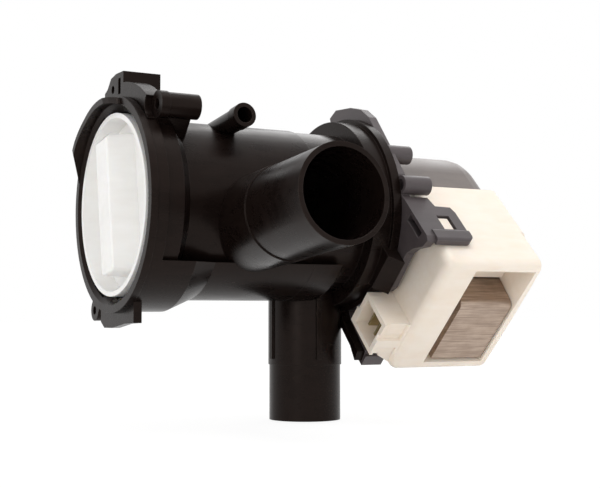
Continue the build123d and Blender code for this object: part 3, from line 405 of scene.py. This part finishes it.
@dataclass(frozen=True)
class LaminatedSteel(Finish):
    """Stack of stamped sheets, brushed and browned by the oven.

    It is painted dark, as shade on the bend's flank, between the two places along s that bend_mm gives.
    """

    heat: Triple
    line: Triple
    # Dark colour painted on the bend's flank as shade.
    scale: Triple
    roughness: float = 0.42
    metallic: float = 0.85
    edge_mm: float = 0.25
    edge_roughness: float = 0.1
    sheet_mm: float = 0.5
    seam_mm: float = 0.07
    wobble_mm: float = 0.12
    wobble_size_mm: float = 6.0
    bend_mm: Range = (6.6, 8.6)
    brush_mm: float = 0.55
    brush_stretch: Triple = (0.04, 1.0, 1.0)
    brush_relief: float = 0.5
    cloud_mm: float = 7.0
    cloud_weight: float = 0.5
    line_share: float = 0.45
    flank_shade_share: Range = (0.6, 0.85)
    drift: Range = (-0.07, 0.12)
    bump_depth_mm: float = 0.02
    bump_strength: float = 0.35

    def inputs(self, graph: Graph) -> dict[str, Any]:
        """Seams between the sheets, brushed lines along X and painted shade beyond the bend."""
        here = graph.place()
        x, y, z = (graph.node("ShaderNodeSeparateXYZ", {}, {0: here}, axis) for axis in "XYZ")
        start, end = self.bend_mm
        bent = graph.span((z - y) * SLANT, low=start * MM, high=end * MM)
        wobble = graph.noise(here, self.wobble_size_mm) * (self.wobble_mm * MM)
        from_seam = (x + wobble).folded(self.sheet_mm * MM / 2)
        seam = graph.span(from_seam, low=self.seam_mm * MM, high=0.0)
        brushed = graph.noise(graph.place(self.brush_stretch), self.brush_mm, detail=3.0, roughness=0.6)
        clouds = graph.noise(here, self.cloud_mm, detail=4.0, roughness=0.55)
        rounded, edge = graph.soft_edges(self.edge_mm)
        browned = graph.span(clouds, low=0.35, high=0.7)
        base = graph.blend(browned, opaque(self.colour), opaque(self.heat))
        lines = seam * self.line_share + graph.span(brushed, low=0.42, high=0.66) * self.line_share
        base = graph.blend(lines, base, opaque(self.line))
        least, most = self.flank_shade_share
        # Painted shade: the flank beyond the bend turns dark.
        painted_flank_shade = bent * graph.span(clouds, low=0.2, high=0.6, start=least, end=most)
        marks = brushed + clouds * self.cloud_weight
        rough = graph.vary(marks, low=0.5, high=1.0, middle=self.roughness, drift=self.drift)
        relief = brushed * self.brush_relief + (1.0 - seam)
        return {
            "Base Color": graph.blend(painted_flank_shade, base, opaque(self.scale)),
            "Metallic": self.metallic,
            "Roughness": rough + edge * self.edge_roughness,
            "Normal": graph.bump(relief, self.bump_depth_mm, self.bump_strength, rounded),
        }


@dataclass(frozen=True)
class SpeckledSolid(Finish):
    """Pressed or rubbery solid with pores, for rubber, ferrite and sintered bronze."""

    speck: Triple
    roughness: float
    metallic: float = 0.0
    pore_mm: float = 0.35
    cloud_mm: float = 8.0
    cloud_weight: float = 0.4
    edge_mm: float = 0.2
    edge_weight: float = 0.3
    drift: Range = (-0.05, 0.1)
    bump_depth_mm: float = 0.03
    bump_strength: float = 0.4

    def inputs(self, graph: Graph) -> dict[str, Any]:
        """Pores in the colour and in the normal."""
        here = graph.place()
        pores = graph.noise(here, self.pore_mm, detail=4.0, roughness=0.65)
        clouds = graph.noise(here, self.cloud_mm)
        rounded, edge = graph.soft_edges(self.edge_mm)
        speckled = graph.span(pores + clouds * self.cloud_weight, low=0.6, high=0.9)
        marks = clouds + edge * self.edge_weight
        rough = graph.vary(marks, low=0.3, high=0.9, middle=self.roughness, drift=self.drift)
        return {
            "Base Color": graph.blend(speckled, opaque(self.colour), opaque(self.speck)),
            "Metallic": self.metallic,
            "Roughness": rough,
            "Normal": graph.bump(pores, self.bump_depth_mm, self.bump_strength, rounded),
        }


@dataclass(frozen=True)
class DrawnMetal(Finish):
    """Ground or drawn metal with fine lines along X."""

    shade: Triple
    roughness: float
    line_mm: float = 0.12
    line_stretch: Triple = (0.05, 1.0, 1.0)
    line_weight: float = 0.6
    cloud_mm: float = 4.0
    cloud_weight: float = 0.4
    edge_mm: float = 0.1
    edge_weight: float = 0.2
    drift: Range = (0.0, 0.15)
    bump_depth_mm: float = 0.004
    bump_strength: float = 0.3

    def inputs(self, graph: Graph) -> dict[str, Any]:
        """Fine lines in the colour, the roughness and the normal."""
        drawn = graph.place(self.line_stretch)
        lines = graph.noise(drawn, self.line_mm, detail=3.0, roughness=0.6)
        clouds = graph.noise(graph.place(), self.cloud_mm)
        rounded, edge = graph.soft_edges(self.edge_mm)
        shaded = graph.span(lines * self.line_weight + clouds * self.cloud_weight, low=0.35, high=0.65)
        marks = lines + edge * self.edge_weight
        rough = graph.vary(marks, low=0.3, high=0.8, middle=self.roughness, drift=self.drift)
        return {
            "Base Color": graph.blend(shaded, opaque(self.colour), opaque(self.shade)),
            "Metallic": 1.0,
            "Roughness": rough,
            "Normal": graph.bump(lines, self.bump_depth_mm, self.bump_strength, rounded),
        }


@dataclass(frozen=True)
class CoilWire(Finish):
    """Enamelled copper wire."""

    enamel: Triple
    metallic: float = 0.9
    roughness_range: Range = (0.24, 0.42)
    coat: float = 0.6
    coat_roughness: float = 0.15
    tone_mm: float = 2.5
    scuff_mm: float = 0.3
    bump_depth_mm: float = 0.006
    bump_strength: float = 0.3

    def inputs(self, graph: Graph) -> dict[str, Any]:
        """Two tones of enamel with fine scuffs."""
        here = graph.place()
        tone = graph.span(graph.noise(here, self.tone_mm, detail=3.0), low=0.35, high=0.65)
        scuffs = graph.noise(here, self.scuff_mm)
        least, most = self.roughness_range
        return {
            "Base Color": graph.blend(tone, opaque(self.colour), opaque(self.enamel)),
            "Metallic": self.metallic,
            "Roughness": graph.span(scuffs, low=0.3, high=0.7, start=least, end=most),
            "Normal": graph.bump(scuffs, self.bump_depth_mm, self.bump_strength, graph.normal()),
            "Coat Weight": self.coat,
            "Coat Roughness": self.coat_roughness,
        }


BLACK = MouldedPlastic(
    name="black_plastic",
    colour=(0.0050, 0.0029, 0.0024),
    flow=(0.0095, 0.0057, 0.0047),
    # Lighter edges on the black: partly wear, partly painted highlight along the rims.
    wear_and_highlight=(0.055, 0.044, 0.038),
    roughness=0.28,
    level=0.14,
    tint=(1.0, 0.82, 0.74),
)
WHITE = MouldedPlastic(
    name="white_plastic",
    colour=(0.91, 0.905, 0.89),
    flow=(0.86, 0.85, 0.83),
    wear_and_highlight=(0.94, 0.93, 0.92),
    roughness=0.42,
    grain=Grain.SMOOTH,
    soft=0.15,
)
CREAM = MouldedPlastic(
    name="cream_plastic",
    colour=(0.94, 0.85, 0.75),
    flow=(0.90, 0.79, 0.67),
    wear_and_highlight=(0.95, 0.91, 0.85),
    roughness=0.38,
    grain=Grain.SMOOTH,
    soft=0.2,
)
FLANGE = MouldedPlastic(
    name="flange_plastic",
    colour=(0.060, 0.048, 0.050),
    flow=(0.082, 0.067, 0.069),
    wear_and_highlight=(0.2, 0.18, 0.18),
    roughness=0.45,
)
SHROUD = MouldedPlastic(
    name="shroud_plastic",
    colour=(0.125, 0.104, 0.095),
    flow=(0.165, 0.138, 0.125),
    wear_and_highlight=(0.25, 0.22, 0.2),
    roughness=0.4,
)
WHEEL = MouldedPlastic(
    name="impeller_plastic",
    colour=(0.6, 0.58, 0.54),
    flow=(0.54, 0.52, 0.47),
    wear_and_highlight=(0.72, 0.7, 0.66),
    roughness=0.45,
)
DOG = MouldedPlastic(
    name="dog_plastic",
    colour=(0.09, 0.09, 0.095),
    flow=(0.12, 0.12, 0.125),
    wear_and_highlight=(0.25, 0.25, 0.25),
    roughness=0.5,
)
WASHER = MouldedPlastic(
    name="washer_plastic",
    colour=(0.7, 0.67, 0.58),
    flow=(0.64, 0.6, 0.5),
    wear_and_highlight=(0.8, 0.78, 0.7),
    roughness=0.4,
    grain=Grain.SMOOTH,
)
BOBBIN = MouldedPlastic(
    name="bobbin_plastic",
    colour=(0.68, 0.64, 0.54),
    flow=(0.6, 0.56, 0.46),
    wear_and_highlight=(0.78, 0.75, 0.68),
    roughness=0.45,
)
RUBBER = SpeckledSolid(
    name="seal_rubber",
    colour=(0.012, 0.012, 0.013),
    speck=(0.03, 0.03, 0.031),
    roughness=0.62,
)
FERRITE = SpeckledSolid(
    name="ferrite",
    colour=(0.035, 0.035, 0.038),
    speck=(0.085, 0.083, 0.085),
    roughness=0.55,
    metallic=0.2,
    pore_mm=0.25,
    bump_depth_mm=0.02,
)
BRONZE = SpeckledSolid(
    name="bearing_bronze",
    colour=(0.33, 0.2, 0.09),
    speck=(0.16, 0.09, 0.04),
    roughness=0.4,
    metallic=1.0,
    pore_mm=0.22,
    bump_depth_mm=0.02,
)
STEEL = DrawnMetal(
    name="shaft_steel",
    colour=(0.62, 0.62, 0.63),
    shade=(0.5, 0.5, 0.52),
    roughness=0.16,
)
BRASS = DrawnMetal(
    name="terminal_brass",
    colour=(0.62, 0.54, 0.33),
    shade=(0.48, 0.4, 0.22),
    roughness=0.26,
)
STACK = LaminatedSteel(
    name="laminated_steel",
    colour=(0.50, 0.39, 0.31),
    heat=(0.42, 0.32, 0.25),
    line=(0.16, 0.11, 0.085),
    # Painted shade on the bend's flank.
    scale=(0.035, 0.021, 0.016),
)
COPPER = CoilWire(
    name="copper_wire",
    colour=(0.62, 0.25, 0.11),
    enamel=(0.5, 0.16, 0.06),
)


def add_object(name: str, data: bpy.types.ID) -> bpy.types.Object:
    """Make an object and put it in the scene.

    Args:
        name: The object's name.
        data: Its mesh, light or camera.

    Returns:
        The object.
    """
    made = bpy.data.objects.new(name, data)
    bpy.context.scene.collection.objects.link(made)
    return made


def add_mesh(name: str, body: bmesh.types.BMesh) -> bpy.types.Object:
    """Turn an edit mesh into an object in the scene.

    Args:
        name: The name of the object and its mesh.
        body: The edit mesh, which is freed.

    Returns:
        The object.
    """
    mesh = bpy.data.meshes.new(name)
    body.to_mesh(mesh)
    body.free()
    return add_object(name, mesh)


def face_along(thing: bpy.types.Object, direction: Vector) -> None:
    """Turn a lamp or a camera so that it looks along a direction."""
    thing.rotation_mode = "QUATERNION"
    thing.rotation_quaternion = direction.to_track_quat("-Z", "Y")


@dataclass(frozen=True)
class Assembly:
    """Group of frame parts with the finish of each."""

    title: str
    parts: dict[str, Finish]

    def dress(self, nodes: dict[str, bpy.types.Object]) -> None:
        """Give each part of the group its finish.

        Args:
            nodes: The frame's parts by name.
        """
        for name, finish in self.parts.items():
            materials = nodes[name].data.materials
            materials.clear()
            materials.append(finish.material())
            LOG.info("%s: %s in %s", self.title, name, finish.name)


@dataclass(frozen=True)
class Stator(Assembly):
    """Iron, coils and terminals, with the coils wound turn by turn.

    The coils fill the plain windings of the frame, whose sizes along s and m are given here.
    """

    wire_mm: float = 0.6
    leg_width_mm: float = 11.6
    coil_length_mm: float = 13.2
    first_layer_mm: float = 0.96
    outer_mm: float = 2.88
    corner_steps: int = 6
    bead_steps: int = 5

    def wind(self, name: str) -> None:
        """Build one coil round its leg and let it stand for the plain winding.

        Args:
            name: The part that the coil replaces.
        """
        body = bmesh.new()
        rings = [[body.verts.new(point) for point in ring] for ring in self.rings(name)]
        for first, second in zip(rings, rings[1:] + rings[:1]):
            for i in range(len(first)):
                j = (i + 1) % len(first)
                body.faces.new((first[i], first[j], second[j], second[i])).smooth = True
        bmesh.ops.recalc_face_normals(body, faces=body.faces)
        coil = add_mesh(name.replace("winding", "turns"), body)
        coil.data.materials.append(COPPER.material())
        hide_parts(name)
        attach(coil, "housing")
        LOG.info("%s: %s with %d points", self.title, coil.name, len(coil.data.vertices))

    def rings(self, name: str) -> list[list[Vector]]:
        """Rings of points round the leg, one for each point of the coil's section.

        Args:
            name: The part whose box says where the coil lies.

        Returns:
            The rings, with their points in metres in the frame.
        """
        low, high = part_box(name)
        middle = (Vector(low) + Vector(high)) / 2 / MM
        middle_s = SLANT * (middle.z - middle.y)
        middle_m = -SLANT * (middle.y + middle.z)
        reach_x = (high[0] - low[0]) / 2 / MM - self.outer_mm
        reach_s = self.leg_width_mm / 2
        rings = []
        for offset, along in self.profile():
            ring = []
            for turn, side_s, side_x in self.stations():
                x = middle.x + side_x * reach_x + offset * math.sin(turn)
                s = middle_s + side_s * reach_s + offset * math.cos(turn)
                m = middle_m + along
                ring.append(Vector((x, -SLANT * (s + m), SLANT * (s - m))) * MM)
            rings.append(ring)
        return rings

    def profile(self) -> list[tuple[float, float]]:
        """Section of the coil: straight inside, one bead for each turn outside.

        Returns:
            Points in millimetres as (distance from the leg, place along it), as a closed loop.
        """
        half = self.coil_length_mm / 2
        turns = int(self.coil_length_mm / self.wire_mm)
        pitch = self.coil_length_mm / turns
        radius = pitch / 2
        points = [(self.first_layer_mm, half), (self.first_layer_mm, -half)]
        for i in range(turns):
            centre = (i + 0.5) * pitch - half
            for k in range(self.bead_steps):
                angle = math.pi * (k + 0.5) / self.bead_steps
                out = self.outer_mm - radius + radius * math.sin(angle)
                points.append((out, centre - radius * math.cos(angle)))
        return points

    def stations(self) -> list[tuple[float, int, int]]:
        """Stops on the way round the leg.

        Returns:
            The direction at each stop, and the side in s and in X of the corner that it belongs to.
        """
        found = []
        for i, (side_s, side_x) in enumerate(((1, 1), (-1, 1), (-1, -1), (1, -1))):
            for k in range(self.corner_steps + 1):
                found.append((math.pi / 2 * (i + k / self.corner_steps), side_s, side_x))
        return found


@dataclass(frozen=True)
class Lamp:
    """Square soft lamp that faces the object."""

    name: str
    place: Triple
    size: float
    watts: float
    target: Triple = (0.07, 0.0, 0.0)

    def add(self) -> None:
        """Put the lamp in the scene."""
        light = bpy.data.lights.new(self.name, "AREA")
        light.size = self.size
        light.energy = self.watts
        lamp = add_object(self.name, light)
        lamp.location = self.place
        face_along(lamp, Vector(self.target) - Vector(self.place))


LAMPS = (
    Lamp("top_lamp", (0.05, -0.25, 0.85), size=0.45, watts=2.8),
    Lamp("side_lamp", (-0.75, -0.6, 0.2), size=0.26, watts=1.5),
    Lamp("back_lamp", (0.6, 0.5, 0.6), size=0.5, watts=1.6),
)


@dataclass(frozen=True)
class Studio:
    """Pale floor, soft lamps, white surroundings and the camera."""

    lowest_z: float
    floor_gap_mm: float = 0.4
    floor_half: float = 4.0
    floor_colour: Triple = (0.92, 0.91, 0.9)
    floor_glow: float = 1.07
    floor_share: float = 0.85
    ambient: float = 0.76
    eye: Triple = (-0.1396, -0.3822, -0.0356)
    forward: Triple = (0.4837, 0.8734, 0.0559)
    lens_mm: float = 72.71
    sensor_mm: float = 36.0
    nearest: float = 0.01
    farthest: float = 20.0

    def build(self) -> None:
        """Set up everything round the object."""
        self.make_world()
        self.make_floor()
        for lamp in LAMPS:
            lamp.add()
        self.make_camera()
        bpy.context.scene.view_settings.view_transform = "Standard"
        LOG.info("studio: %d lamps", len(LAMPS))

    def seen(self, graph: Graph) -> Sock:
        """Share that is 1 for rays that show the surroundings and 0 for rays that light the object.

        Args:
            graph: The graph that needs it.

        Returns:
            The share as a number.
        """
        kinds = ("Is Camera Ray", "Is Glossy Ray", "Is Transmission Ray")
        camera, glossy, through = (graph.node("ShaderNodeLightPath", {}, {}, kind) for kind in kinds)
        return graph.span(camera + glossy + through, low=0.0, high=1.0)

    def make_world(self) -> None:
        """White surroundings to look at, with a lower level of light from them."""
        world = bpy.data.worlds.new("studio_world")
        world.use_nodes = True
        bpy.context.scene.world = world
        graph = Graph(world.node_tree)
        strength = graph.span(self.seen(graph), low=0.0, high=1.0, start=self.ambient, end=1.0)
        light = graph.node("ShaderNodeBackground", {}, {"Color": opaque(PURE_WHITE), "Strength": strength})
        graph.node("ShaderNodeOutputWorld", {}, {"Surface": light})

    def make_floor(self) -> None:
        """Plain pale floor just under the object, which keeps its shadow."""
        body = bmesh.new()
        reach = self.floor_half
        floor_z = self.lowest_z - self.floor_gap_mm * MM
        outline = ((-reach, -reach), (reach, -reach), (reach, reach), (-reach, reach))
        body.faces.new([body.verts.new((x, y, floor_z)) for x, y in outline])
        floor = add_mesh("studio_floor", body)
        material, graph = new_graph("studio_floor")
        lit = graph.node("ShaderNodeBsdfDiffuse", {}, {"Color": opaque(self.floor_colour)})
        glow = {"Color": opaque(PURE_WHITE), "Strength": self.floor_glow}
        white = graph.node("ShaderNodeEmission", {}, glow)
        share = self.seen(graph) * self.floor_share
        both = graph.node("ShaderNodeMixShader", {}, {0: share, 1: lit, 2: white})
        graph.node("ShaderNodeOutputMaterial", {}, {"Surface": both})
        floor.data.materials.append(material)
        floor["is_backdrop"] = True

    def make_camera(self) -> None:
        """Add the camera at the photograph's viewing angle."""
        data = bpy.data.cameras.new("view_camera")
        data.lens = self.lens_mm
        data.sensor_width = self.sensor_mm
        data.sensor_fit = "HORIZONTAL"
        data.clip_start = self.nearest
        data.clip_end = self.farthest
        camera = add_object("view_camera", data)
        camera.location = self.eye
        face_along(camera, Vector(self.forward))
        bpy.context.scene.camera = camera


def paired(ends: tuple[str, str], kinds: dict[str, Finish]) -> dict[str, Finish]:
    """Finishes of the parts that come once at each of two ends.

    Args:
        ends: The words that start the parts' names.
        kinds: The finishes by the rest of the names.

    Returns:
        The finishes by name.
    """
    return {f"{end}_{kind}": finish for end in ends for kind, finish in kinds.items()}


HOUSING_PARTS = (
    "filter_housing",
    "pump_chamber",
    "inlet_spigot",
    "outlet_spigot",
    "bypass_nipple",
    "screw_boss",
    "top_bracket",
    "screw_lug",
    "housing_foot",
)
HOUSING = Assembly("housing", {name: BLACK for name in HOUSING_PARTS})
FILTER = Assembly("filter", {"filter_cap": WHITE, "filter_comb": WHITE, "cap_seal": RUBBER})
IMPELLER = Assembly("impeller", {"impeller": WHEEL, "impeller_hub_cap": WHEEL, "drive_dog": DOG})
SHELL = Assembly(
    "motor shell",
    {
        "motor_flange": FLANGE,
        "bearing_carrier": FLANGE,
        "motor_shroud": SHROUD,
        "stator_cover": CREAM,
        "chamber_seal": RUBBER,
    },
)
ROTOR = Assembly(
    "rotor",
    {"rotor_shaft": STEEL, "rotor_magnet": FERRITE, "magnet_hub": DOG, "shaft_seal": RUBBER}
    | paired(("front", "rear"), {"bearing": BRONZE, "bearing_mount": RUBBER, "thrust_washer": WASHER}),
)
STATOR = Stator(
    "stator",
    {"stator_poles": STACK, "stator_yoke": STACK}
    | paired(("upper", "lower"), {"terminal": BRASS, "coil_bobbin": BOBBIN, "coil_winding": COPPER}),
)


def corners(bounds: tuple[Vector, Vector]) -> list[list[float]]:
    """Box corners as plain lists of numbers."""
    return [list(corner) for corner in bounds]


def main() -> None:
    """Build the scene sub-assembly by sub-assembly."""
    logging.basicConfig(level=logging.INFO, format="%(name)s %(message)s")
    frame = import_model()
    cad_box = corners(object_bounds())
    for group in (HOUSING, FILTER, IMPELLER, SHELL, ROTOR, STATOR):
        group.dress(frame["nodes"])
    for end in ("upper", "lower"):
        STATOR.wind(f"{end}_coil_winding")
    Studio(lowest_z=cad_box[0][2]).build()


if __name__ == "__main__":
    main()
